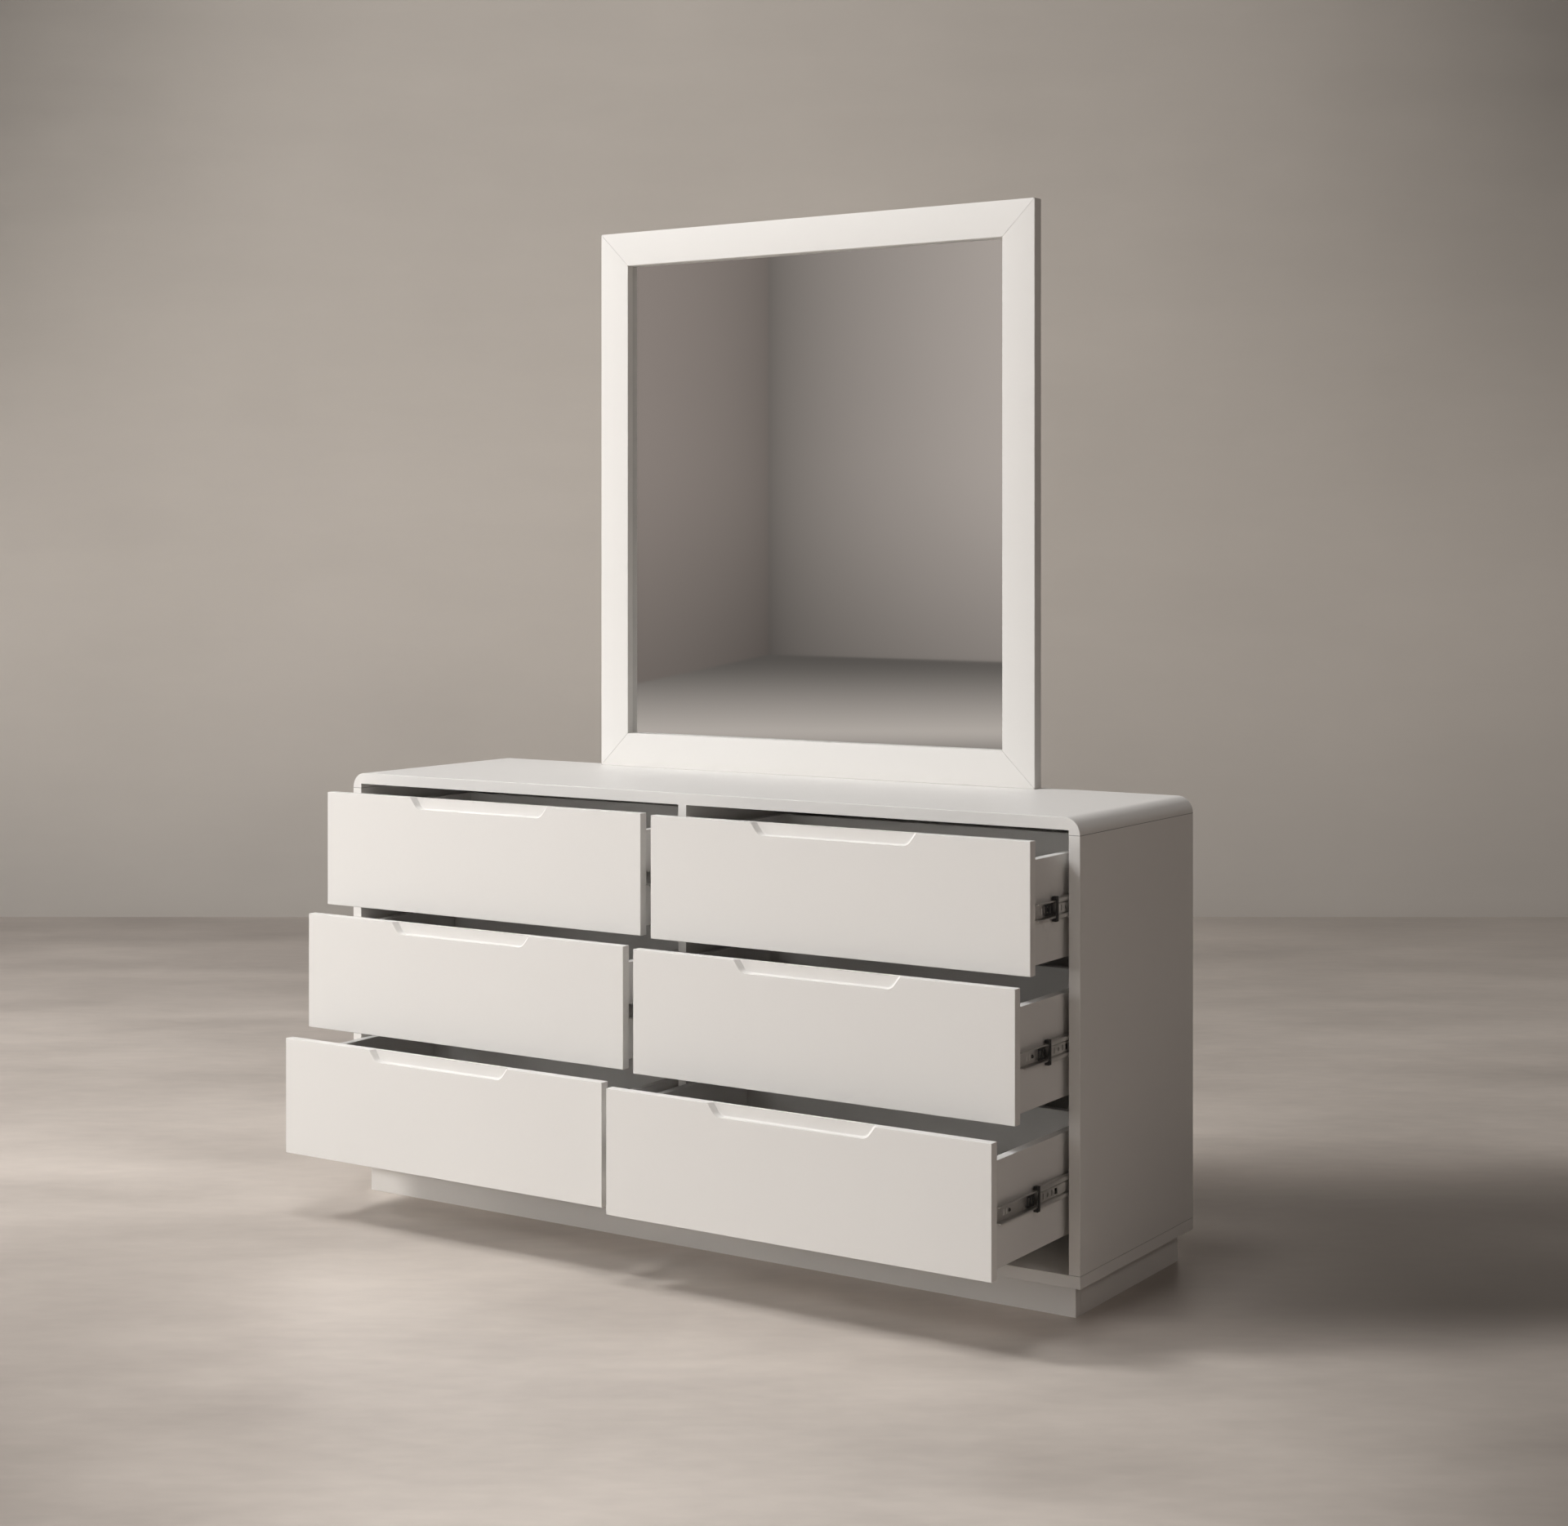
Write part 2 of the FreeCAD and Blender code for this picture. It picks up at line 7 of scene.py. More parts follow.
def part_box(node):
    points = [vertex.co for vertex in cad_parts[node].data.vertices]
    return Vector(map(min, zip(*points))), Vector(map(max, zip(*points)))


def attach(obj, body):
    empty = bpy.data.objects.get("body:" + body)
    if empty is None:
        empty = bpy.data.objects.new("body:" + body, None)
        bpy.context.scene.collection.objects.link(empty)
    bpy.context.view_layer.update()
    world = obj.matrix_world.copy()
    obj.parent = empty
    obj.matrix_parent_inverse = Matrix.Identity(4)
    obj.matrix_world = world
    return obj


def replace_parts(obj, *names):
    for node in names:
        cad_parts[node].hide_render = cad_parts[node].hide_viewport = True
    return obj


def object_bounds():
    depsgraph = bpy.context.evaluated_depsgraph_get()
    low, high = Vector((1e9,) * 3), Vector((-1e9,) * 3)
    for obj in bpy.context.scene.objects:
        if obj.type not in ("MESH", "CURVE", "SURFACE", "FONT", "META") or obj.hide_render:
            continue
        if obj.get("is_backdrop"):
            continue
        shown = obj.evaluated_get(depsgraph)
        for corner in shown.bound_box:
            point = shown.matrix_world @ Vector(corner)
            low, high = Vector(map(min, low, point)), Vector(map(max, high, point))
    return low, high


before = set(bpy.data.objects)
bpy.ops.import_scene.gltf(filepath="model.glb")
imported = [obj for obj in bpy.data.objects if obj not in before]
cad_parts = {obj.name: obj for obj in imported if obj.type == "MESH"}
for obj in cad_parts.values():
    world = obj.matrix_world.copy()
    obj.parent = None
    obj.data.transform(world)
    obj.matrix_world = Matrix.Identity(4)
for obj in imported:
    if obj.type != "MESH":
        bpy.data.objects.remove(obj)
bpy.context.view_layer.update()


# ---------------------------------------------------------------- plinth
# The recessed base that the case stands on: two long boards, two end boards and
# a bearer under the divider. Fibreboard, glued up and sprayed with the same white
# satin lacquer as the rest of the outside.

class Wire:
    """An output socket of a node. Python's operators join wires with Math nodes."""

    def __init__(self, tree, socket=None):
        self.tree = tree
        self.socket = socket

    def node(self, kind, settings=(), sockets=(), out=0):
        """Any node: its type, then its settings, then the values or wires of its sockets."""
        made = self.tree.nodes.new(kind)
        for name, value in dict(settings).items():
            setattr(made, name, value)
        for name, value in dict(sockets).items():
            into = self.pick(made.inputs, name)
            for one in value if isinstance(value, list) else [value]:
                if isinstance(one, Wire):
                    self.tree.links.new(one.socket, into)
                else:
                    into.default_value = one
        return Wire(self.tree, self.pick(made.outputs, out)) if made.outputs else None

    @staticmethod
    def pick(sockets, name):
        """A socket by its number, or the one in use that has this name."""
        if isinstance(name, int):
            return sockets[name]
        return next(s for s in sockets if s.enabled and s.name == name)

    def math(self, operation, a, b=0.0, clamp=False):
        settings = {"operation": operation, "use_clamp": clamp}
        return self.node("ShaderNodeMath", settings, {0: a, 1: b})

    def __add__(self, other):
        return self.math("ADD", self, other)

    def __sub__(self, other):
        return self.math("SUBTRACT", self, other)

    def __rsub__(self, other):
        return self.math("SUBTRACT", other, self)

    def __mul__(self, other):
        return self.math("MULTIPLY", self, other)

    __radd__ = __add__
    __rmul__ = __mul__


def new_finish(name):
    """An empty material and the wire that starts its nodes."""
    material = bpy.data.materials.new(name)
    material.use_nodes = True
    material.node_tree.nodes.clear()
    return material, Wire(material.node_tree)


def on_the_piece(start):
    """Places on a piece, in metres, that its patterns are laid out by."""
    return start.node("ShaderNodeTexCoord", out="Object")


def coordinate(place, axis):
    """How far along X, Y or Z a place lies."""
    return place.node("ShaderNodeSeparateXYZ", {}, {"Vector": place}, axis)


def product(a, b):
    """The dot product of two vectors."""
    settings = {"operation": "DOT_PRODUCT"}
    return a.node("ShaderNodeVectorMath", settings, {0: a, 1: b}, "Value")


def noise(place, scale, detail=2.0, roughness=0.5):
    """Noise from 0 to 1, with scale in waves to the metre."""
    sockets = {"Vector": place, "Scale": scale, "Detail": detail, "Roughness": roughness}
    return place.node("ShaderNodeTexNoise", {}, sockets)


def mixed(amount, low, high):
    """A colour between two colours, either of which may be a wire."""
    low, high = (end if isinstance(end, Wire) else (*end, 1) for end in (low, high))
    sockets = {"Factor": amount, "A": low, "B": high}
    return amount.node("ShaderNodeMix", {"data_type": "RGBA"}, sockets, "Result")


def surfaced(colour, roughness, height, relief, **constants):
    """The shader itself: a bump of this relief in metres, under fixed values."""
    bump = colour.node("ShaderNodeBump", {}, {"Distance": relief, "Height": height}, "Normal")
    sockets = {"Base Color": colour, "Roughness": roughness, "Normal": bump}
    sockets.update({name.replace("_", " "): value for name, value in constants.items()})
    shader = colour.node("ShaderNodeBsdfPrincipled", {}, sockets)
    colour.node("ShaderNodeOutputMaterial", {}, {"Surface": shader})


def edge_mask(start, radius):
    """A mask that is 1 on corners, as far as this radius, and 0 on flats."""
    rounded = start.node("ShaderNodeBevel", {"samples": 4}, {"Radius": radius})
    true = start.node("ShaderNodeNewGeometry", out="True Normal")
    return start.math("MULTIPLY", 1 - product(rounded, true), 3.0, True)


LACQUER_PALE, LACQUER_DEEP = (0.80, 0.785, 0.76), (0.775, 0.757, 0.73)
HAIRLINE, HAIRLINE_SHADE = 0.001, (0.10, 0.09, 0.08)


def sprayed_lacquer(name, joints=()):
    """Satin lacquer: cloudy, with orange peel, polished by hands along its edges, and with a
    painted highlight that makes its edges paler.

    At the heights of its joints the boards under it show as hairlines."""
    material, start = new_finish(name)
    place = on_the_piece(start)
    cloud = noise(place, 2.3, 3.0)
    peel = noise(place, 340.0, 1.0)
    swirl = noise(place, 26.0, 4.0, 0.6)
    on_edges = edge_mask(start, 0.0022)
    # The paler edges are a painted highlight; their lower roughness is the polish.
    colour = mixed(cloud * 0.7 + on_edges * 0.3, LACQUER_DEEP, LACQUER_PALE)
    roughness = 0.36 + swirl * 0.1 + cloud * 0.05 - on_edges * 0.08
    for joint in joints:
        away = start.math("ABSOLUTE", coordinate(place, "Z") - joint)
        line = start.math("LESS_THAN", away, HAIRLINE / 2)
        colour = mixed(line * 0.75, colour, HAIRLINE_SHADE)
        roughness = roughness + line * 0.2
    surfaced(colour, roughness, peel + swirl * 0.4, relief=0.00006, Specular_IOR_Level=0.45)
    return material


def dress(material, *names):
    """Gives parts of the frame their finish."""
    for name in names:
        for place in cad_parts[name].material_slots:
            place.material = material


white_lacquer = sprayed_lacquer("white_lacquer")
dress(white_lacquer, "plinth_rails", "plinth_crosspieces")


# ---------------------------------------------------------------- case
# A top board whose ends turn down in a round, two sides, a bottom board and a
# divider, dowelled together and lacquered. A thin white-faced back is let in
# between them. The dowels are beech and stay hidden in the joints.

dress(white_lacquer, "top_panel", "bottom_panel", "centre_divider")

# The sides show a seam at the bottom board and one at the top board's turned-down ends.
low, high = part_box("side_panel_left")
seams = (low.z + HAIRLINE / 2, high.z - HAIRLINE / 2)
side_lacquer = sprayed_lacquer("side_lacquer", seams)
dress(side_lacquer, "side_panel_left", "side_panel_right")


def faced_board(name, pale, deep, grain):
    """Melamine-faced board: matt, with the fine pearled press marks of its film."""
    material, start = new_finish(name)
    place = on_the_piece(start)
    pearl = {"Vector": place, "Scale": grain}
    pearl = start.node("ShaderNodeTexVoronoi", {}, pearl, "Distance")
    patch = noise(place, 5.0, 3.0)
    roughness = 0.5 + patch * 0.12 + pearl * 0.06
    surfaced(mixed(patch, deep, pale), roughness, pearl, relief=0.00005)
    return material


def scaled(place, *scale):
    """Places squeezed along X, Y and Z, which draws a pattern out."""
    return place.node("ShaderNodeMapping", {}, {"Vector": place, "Scale": scale})


def fluted_beech():
    """Raw beech with its short dark flecks."""
    material, start = new_finish("dowel_wood")
    fleck = noise(scaled(on_the_piece(start), 1.0, 1.0, 0.12), 900.0, 3.0, 0.7)
    colour = mixed(fleck, (0.42, 0.27, 0.14), (0.66, 0.47, 0.29))
    surfaced(colour, 0.6 + fleck * 0.2, fleck, relief=0.0001)
    return material


back_board = faced_board("back_board", (0.70, 0.69, 0.67), (0.66, 0.65, 0.62), 700.0)
dress(back_board, "back_panel")
dress(fluted_beech(), "case_dowels")


# ---------------------------------------------------------------- drawers
# Six drawers. The fronts are lacquered board with a finger recess routed into the
# top edge. The boxes are white melamine-faced board, glued and dowelled, with the
# bottom sheet held in grooves.

DRAWERS = [row + "_" + side for row in ("top", "middle", "bottom") for side in ("left", "right")]
BOX_BOARDS = ("side_left", "side_right", "back", "bottom")
drawer_board = faced_board("drawer_board", (0.76, 0.745, 0.725), (0.72, 0.705, 0.685), 900.0)
for drawer in DRAWERS:
    dress(white_lacquer, drawer + "_drawer_front")
    dress(drawer_board, *(drawer + "_drawer_" + board for board in BOX_BOARDS))


# ---------------------------------------------------------------- slides
# Ball-bearing slides, a pair to each drawer: a member screwed to the case, one
# screwed to the drawer box, and one that runs on balls between them. Roll-formed
# from zinc-plated strip and punched, with a moulded black stop on the middle one.

# In millimetres. The middle members' box stands off the case wall, and the ends of the
# ball cages stand out in front of it.
STRIP_THICKNESS, BEND_RADIUS = 1.2, 1.1
SLIDE_LENGTH, STOP_LENGTH = 400.0, 7.0
MIDDLE_STANDS_OFF, CAGE_STANDS_OUT = 1.8, 27.0

# Half outlines of the strips, from the middle of the web to the lip, in millimetres:
# how far off the case wall, and how far from the middle of the slide.
CASE_STRIP = [(0.6, 0.0), (0.6, 20.3), (2.3, 21.9), (9.3, 21.9), (10.9, 21.3), (10.9, 19.9)]
MIDDLE_STRIP = [
    (4.4, 0.0), (4.4, 7.4), (7.0, 7.9), (7.0, 10.0), (2.4, 10.9), (2.4, 15.6), (3.6, 16.9),
    (9.7, 16.9), (9.7, 18.9)]
DRAWER_STRIP = [(12.1, 0.0), (12.1, 11.2), (11.0, 12.4), (4.2, 12.4), (4.2, 14.4)]

# Punched rows, in millimetres: how far the punched web stands off the case wall, the place
# of the first hole behind the front end, its height, the pitch and count of the row, then
# the length along the slide, height and corner radius of each hole.
CASE_HOLES = [(0.6, 50, 0, 100, 4, 10, 4, 2)]
MIDDLE_HOLES = [
    (4.4, 14, 0, 30, 2, 4, 10, 1.9), (4.4, 29, 0, 1, 1, 6.5, 6.5, 3.2),
    (4.4, 59, 0, 1, 1, 10, 10, 1.2),
    (2.4, 4, 13.4, 1, 1, 1.7, 1.7, 0.8), (2.4, 4, -13.4, 1, 1, 1.7, 1.7, 0.8)]
DRAWER_HOLES = [(12.1, 26, 0, 9, 3, 4, 10, 1.9), (12.1, 200, 0, 1, 1, 4, 10, 1.9)]

# Blocks of the plastic parts in millimetres, (x0, x1, y0, y1, z0, z1): the stop's plate, its
# two cheeks and its buffer, and the cage's two rails and the three ribs between them.
STOP_BLOCKS = [
    (1.8, 3.0, 0.0, 7.0, -20.7, 20.7), (1.8, 9.7, -2.4, 7.0, 15.1, 20.7),
    (1.8, 9.7, -2.4, 7.0, -20.7, -15.1), (1.8, 3.4, 2.0, 7.0, -12.0, 12.0)]
CAGE_BLOCKS = [(7.8, 9.5, 0, 24, 6.4, 9.4), (7.8, 9.5, 0, 24, -9.4, -6.4)]
CAGE_BLOCKS += [(7.9, 9.4, y, y + 3.2, -9.4, 9.4) for y in (0.0, 10.4, 20.8)]


def zinc_plate():
    """Bright zinc on rolled strip: fine lines along the slide and a dull bloom."""
    material, start = new_finish("slide_steel")
    place = on_the_piece(start)
    rolled = noise(scaled(place, 1.0, 0.02, 1.0), 2600.0, 2.0, 0.6)
    bloom = noise(place, 60.0, 4.0, 0.65)
    colour = mixed(bloom * 0.6 + rolled * 0.4, (0.64, 0.635, 0.62), (0.88, 0.875, 0.86))
    roughness = 0.32 + bloom * 0.2 + rolled * 0.06
    surfaced(colour, roughness, rolled, relief=0.00001, Metallic=1.0)
    return material


def moulded_black():
    """Injection-moulded plastic with a fine spark-eroded grain."""
    material, start = new_finish("slide_plastic")
    place = on_the_piece(start)
    grain = noise(place, 2200.0, 2.0, 0.6)
    scuff = noise(place, 90.0, 4.0, 0.6)
    colour = mixed(scuff, (0.012, 0.012, 0.013), (0.030, 0.030, 0.031))
    surfaced(colour, 0.38 + scuff * 0.2, grain, relief=0.00003)
    return material


def phosphate_black():
    """Board screws blackened with phosphate, a little worn on their crowns."""
    material, start = new_finish("phosphate_black")
    bloom = noise(on_the_piece(start), 900.0, 4.0, 0.65)
    on_edges = edge_mask(start, 0.0003)
    colour = mixed(bloom * 0.5 + on_edges * 0.5, (0.016, 0.016, 0.017), (0.075, 0.074, 0.072))
    surfaced(colour, 0.42 + bloom * 0.2, bloom, relief=0.00003)
    return material


def rounded_line(points, radius):
    """A line through points, with its corners rounded to about this radius."""
    line = [Vector(points[0])]
    for before, corner, after in zip(points, points[1:], points[2:]):
        corner = Vector(corner)
        arms = [Vector(before) - corner, Vector(after) - corner]
        reach = min([radius] + [arm.length * 0.48 for arm in arms])
        start, end = (corner + arm.normalized() * reach for arm in arms)
        for share in (0.0, 0.25, 0.5, 0.75, 1.0):
            line.append(start.lerp(corner, share).lerp(corner.lerp(end, share), share))
    return line + [Vector(points[-1])]


def closed_mesh(name, shape):
    """A mesh from a closed bmesh, facing outwards."""
    bmesh.ops.recalc_face_normals(shape, faces=shape.faces)
    mesh = bpy.data.meshes.new(name)
    shape.to_mesh(mesh)
    shape.free()
    return mesh


def rolled_strip(name, half, length):
    """Strip bent along a half outline and its reflection, and run back from Y = 0."""
    centre = rounded_line(half, BEND_RADIUS)
    centre = [Vector((p.x, -p.y)) for p in centre[:0:-1]] + centre[1:]
    rails = [[], []]
    for i, point in enumerate(centre):
        along = (centre[min(i + 1, len(centre) - 1)] - centre[max(i - 1, 0)]).normalized()
        across = Vector((-along.y, along.x)) * STRIP_THICKNESS / 2
        rails[0].append(point + across)
        rails[1].append(point - across)
    shape = bmesh.new()
    ends = []
    for y in (0.0, length / 1000):
        ends.append([[shape.verts.new((p.x / 1000, y, p.y / 1000)) for p in rail]
                     for rail in rails])
    fore, aft = ends
    for i in range(len(centre) - 1):
        for rail in (0, 1):
            shape.faces.new([fore[rail][i], fore[rail][i + 1], aft[rail][i + 1], aft[rail][i]])
        for end in ends:
            shape.faces.new([end[0][i], end[0][i + 1], end[1][i + 1], end[1][i]])
    for i in (0, -1):
        shape.faces.new([fore[0][i], fore[1][i], aft[1][i], aft[0][i]])
    return closed_mesh(name, shape)


def new_tree(name, **inputs):
    """An empty tree of geometry nodes, and its named inputs as wires."""
    tree = bpy.data.node_groups.new(name, "GeometryNodeTree")
    sockets = tree.interface
    sockets.new_socket("Geometry", in_out="OUTPUT", socket_type="NodeSocketGeometry")
    for label, kind in {"Geometry": "Geometry", **inputs}.items():
        sockets.new_socket(label, in_out="INPUT", socket_type="NodeSocket" + kind)
    entry = tree.nodes.new("NodeGroupInput")
    return tree, {socket.name: Wire(tree, socket) for socket in entry.outputs if socket.name}


def made_by(tree, mesh, **sizes):
    """The plain mesh that a tree of geometry nodes makes from this one."""
    carrier = bpy.data.objects.new("carrier", mesh)
    bpy.context.scene.collection.objects.link(carrier)
    modifier = carrier.modifiers.new(tree.name, "NODES")
    modifier.node_group = tree
    for socket in tree.interface.items_tree:
        if socket.in_out == "INPUT" and socket.name in sizes:
            modifier[socket.identifier] = sizes[socket.name]
    view = bpy.context.evaluated_depsgraph_get()
    made = bpy.data.meshes.new_from_object(carrier.evaluated_get(view))
    bpy.data.objects.remove(carrier)
    return made


def solid(start, kind, **sizes):
    """A plain mesh to build from: a Grid, Cylinder, Cone, Cube or Line."""
    sizes = {name.replace("_", " "): value for name, value in sizes.items()}
    return start.node("GeometryNodeMesh" + kind, {}, sizes, "Mesh")


def shifted(mesh, **how):
    """A mesh after its Translation or Rotation."""
    return mesh.node("GeometryNodeTransform", {}, {"Geometry": mesh, **how}, "Geometry")


def upwards(amount):
    """A length as a vector along Z."""
    return amount.node("ShaderNodeCombineXYZ", {}, {"Z": amount})


def fused(start, sockets):
    """Solids that lie in one another, joined into one."""
    settings = {"operation": "UNION", "solver": "EXACT"}
    return start.node("GeometryNodeMeshBoolean", settings, sockets, "Mesh")


def cut_by(mesh, tools):
    """A solid with other solids taken out of it."""
    settings = {"operation": "DIFFERENCE", "solver": "EXACT"}
    sockets = {"Mesh 1": mesh, "Mesh 2": tools}
    return mesh.node("GeometryNodeMeshBoolean", settings, sockets, "Mesh")


def one_at_each(points, mesh, **how):
    """Copies of a mesh at points, made real."""
    sockets = {"Points": points, "Instance": mesh, **how}
    copies = points.node("GeometryNodeInstanceOnPoints", {}, sockets, "Instances")
    return copies.node("GeometryNodeRealizeInstances", {}, {"Geometry": copies}, "Geometry")


def handed_out(mesh, finish):
    """Ends a tree: the mesh gets its finish and leaves."""
    sockets = {"Geometry": mesh, "Material": finish}
    mesh = mesh.node("GeometryNodeSetMaterial", {}, sockets, "Geometry")
    mesh.node("NodeGroupOutput", {}, {"Geometry": mesh})


def punching():
    """Punches a row of round-cornered holes through a web that faces X."""
    sizes = dict.fromkeys(("Pitch", "Length", "Height", "Corner"), "Float")
    tree, given = new_tree("punching", First="Vector", Count="Int", **sizes, Finish="Material")
    start = Wire(tree)
    long, high = (given[side] - given["Corner"] * 2.0 for side in ("Length", "Height"))
    corners = solid(start, "Grid", Size_X=long, Size_Y=high, Vertices_X=2, Vertices_Y=2)
    pin = solid(start, "Cylinder", Vertices=16, Radius=given["Corner"], Depth=0.004)
    pins = {"Geometry": one_at_each(corners, pin)}
    punch = start.node("GeometryNodeConvexHull", {}, pins, "Convex Hull")
    punch = shifted(punch, Rotation=(math.pi / 2, 0.0, math.pi / 2))
    step = start.node("ShaderNodeCombineXYZ", {}, {"Y": given["Pitch"]})
    row = solid(start, "Line", Count=given["Count"], Start_Location=given["First"], Offset=step)
    handed_out(cut_by(given["Geometry"], one_at_each(row, punch)), given["Finish"])
    return tree


def fusing():
    """Joins the overlapping blocks of a mesh into one solid."""
    tree, given = new_tree("fusing", Finish="Material")
    blocks = {"Mesh": given["Geometry"], "Self Intersection": True}
    handed_out(fused(Wire(tree), blocks), given["Finish"])
    return tree


# The cross in a screw's head, in parts of its face's radius and of the head's height.
BLADE_LENGTH, BLADE_WIDTH, BLADE_DEPTH = 1.15, 0.26, 1.1
LARGEST_SPIN = 1.5


def crossed_screws():
    """A cross-head screw at each point, its face outwards along the turned Z."""
    sizes = dict.fromkeys(("Face", "Seat", "Head", "Shank", "Length"), "Float")
    tree, given = new_tree("crossed_screws", **sizes, Turn="Vector", Seed="Int",
                           Finish="Material")
    start = Wire(tree)
    head = solid(start, "Cone", Vertices=24, Radius_Top=given["Face"],
                 Radius_Bottom=given["Seat"], Depth=given["Head"])
    head = shifted(head, Translation=upwards(given["Head"] * -1.0))
    shank = solid(start, "Cylinder", Vertices=12, Radius=given["Shank"], Depth=given["Length"])
    shank = shifted(shank, Translation=upwards(given["Head"] * -0.8 - given["Length"] * 0.5))
    blade = {"X": given["Face"] * BLADE_LENGTH, "Y": given["Face"] * BLADE_WIDTH,
             "Z": given["Head"] * BLADE_DEPTH}
    blade = solid(start, "Cube", Size=start.node("ShaderNodeCombineXYZ", {}, blade))
    crossing = shifted(blade, Rotation=(0.0, 0.0, math.pi / 2))
    screw = cut_by(fused(start, {"Mesh": [head, shank]}), [blade, crossing])
    spin = {"Min": 0.0, "Max": LARGEST_SPIN, "Seed": given["Seed"]}
    spin = start.node("FunctionNodeRandomValue", {"data_type": "FLOAT"}, spin, "Value")
    spin = start.node("FunctionNodeEulerToRotation", {}, {"Euler": upwards(spin)})
    turn = start.node("FunctionNodeEulerToRotation", {}, {"Euler": given["Turn"]})
    turned = {"Rotation": turn, "Rotate By": spin}
    turn = start.node("FunctionNodeRotateRotation", {"rotation_space": "LOCAL"}, turned)
    handed_out(one_at_each(given["Geometry"], screw, Rotation=turn), given["Finish"])
    return tree


def punched(mesh, rows):
    """A strip with its rows of holes."""
    for stands_off, first, height, pitch, count, long, high, corner in rows:
        place = (stands_off / 1000, first / 1000, height / 1000)
        sizes = dict(Pitch=pitch / 1000, Length=long / 1000, Height=high / 1000)
        mesh = made_by(punch_row, mesh, First=place, Count=count, Corner=corner / 1000,
                       Finish=slide_steel, **sizes)
    return mesh


EASED_FROM = 0.5


def moulding(name, rounding, blocks):
    """A plastic part made of fused blocks, with its edges rounded."""
    shape = bmesh.new()
    for x0, x1, y0, y1, z0, z1 in blocks:
        size = Matrix.Diagonal((x1 - x0, y1 - y0, z1 - z0, 1.0))
        middle = Matrix.Translation(((x0 + x1) / 2, (y0 + y1) / 2, (z0 + z1) / 2))
        where = Matrix.Scale(0.001, 4) @ middle @ size
        bmesh.ops.create_cube(shape, size=1.0, matrix=where)
    whole = made_by(fuse, closed_mesh(name, shape), Finish=slide_plastic)
    shape = bmesh.new()
    shape.from_mesh(whole)
    bmesh.ops.remove_doubles(shape, verts=shape.verts, dist=1e-6)
    bmesh.ops.dissolve_limit(shape, angle_limit=0.02, verts=shape.verts, edges=shape.edges)
    sharp = [edge for edge in shape.edges
             if len(edge.link_faces) == 2 and edge.calc_face_angle() > EASED_FROM]
    bmesh.ops.bevel(shape, geom=sharp, offset=rounding / 1000, segments=2, affect="EDGES",
                    clamp_overlap=True)
    made = closed_mesh(name, shape)
    made.materials.append(slide_plastic)
    return made


def points_mesh(places):
    """Loose points, for screws to stand on."""
    mesh = bpy.data.meshes.new("points")
    mesh.from_pydata(places, [], [])
    return mesh


SHARP_FROM = math.radians(20)


def assembled(name, body, copies):
    """One piece from meshes and where each one goes, riding on a body."""
    shape = bmesh.new()
    for mesh, where in copies:
        copy = mesh.copy()
        copy.transform(where)
        shape.from_mesh(copy)
        bpy.data.meshes.remove(copy)
    made = closed_mesh(name, shape)
    for material in copies[0][0].materials:
        made.materials.append(material)
    made.polygons.foreach_set("use_smooth", [True] * len(made.polygons))
    made.set_sharp_from_angle(angle=SHARP_FROM)
    piece = bpy.data.objects.new(name, made)
    bpy.context.scene.collection.objects.link(piece)
    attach(piece, body)
    return piece


def both_sides(mesh, drawer, front):
    """A left-hand slide part at a drawer's left wall, and its mirror at the right one."""
    low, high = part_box(drawer + "_middle_slides")
    height = (low.z + high.z) / 2
    left = Matrix.Translation((low.x - MIDDLE_STANDS_OFF / 1000, front, height))
    right = Matrix.Translation((high.x + MIDDLE_STANDS_OFF / 1000, front, height))
    return [(mesh, left), (mesh, right @ Matrix.Diagonal((-1.0, 1.0, 1.0, 1.0)))]


slide_steel, slide_plastic, black_screw = zinc_plate(), moulded_black(), phosphate_black()
punch_row, fuse, drive_screws = punching(), fusing(), crossed_screws()
case_member = rolled_strip("case_member", CASE_STRIP, SLIDE_LENGTH)
case_member = punched(case_member, CASE_HOLES)
middle_member = rolled_strip("middle_member", MIDDLE_STRIP, SLIDE_LENGTH - STOP_LENGTH)
middle_member = punched(middle_member, MIDDLE_HOLES)
drawer_member = rolled_strip("drawer_member", DRAWER_STRIP, SLIDE_LENGTH)
drawer_member = punched(drawer_member, DRAWER_HOLES)
end_stop = moulding("end_stop", 0.35, STOP_BLOCKS)
ball_cage = moulding("ball_cage", 0.3, CAGE_BLOCKS)

# The screws in metres: how far each face stands off the case wall and lies behind its
# member's front end, and the sizes of the screw itself.
CASE_SCREWS = [(0.003, y, 0.0) for y in (0.05, 0.25, 0.35)]
DRAWER_SCREWS = [(0.0097, y, 0.0) for y in (0.044, 0.2)]
pan_head = dict(Face=0.0022, Seat=0.0034, Head=0.0018, Shank=0.0018, Length=0.012, Seed=3,
                Finish=black_screw)
case_screws = made_by(drive_screws, points_mesh(CASE_SCREWS),
                      Turn=(0.0, math.pi / 2, 0.0), **pan_head)
drawer_screws = made_by(drive_screws, points_mesh(DRAWER_SCREWS),
                        Turn=(0.0, -math.pi / 2, 0.0), **pan_head)

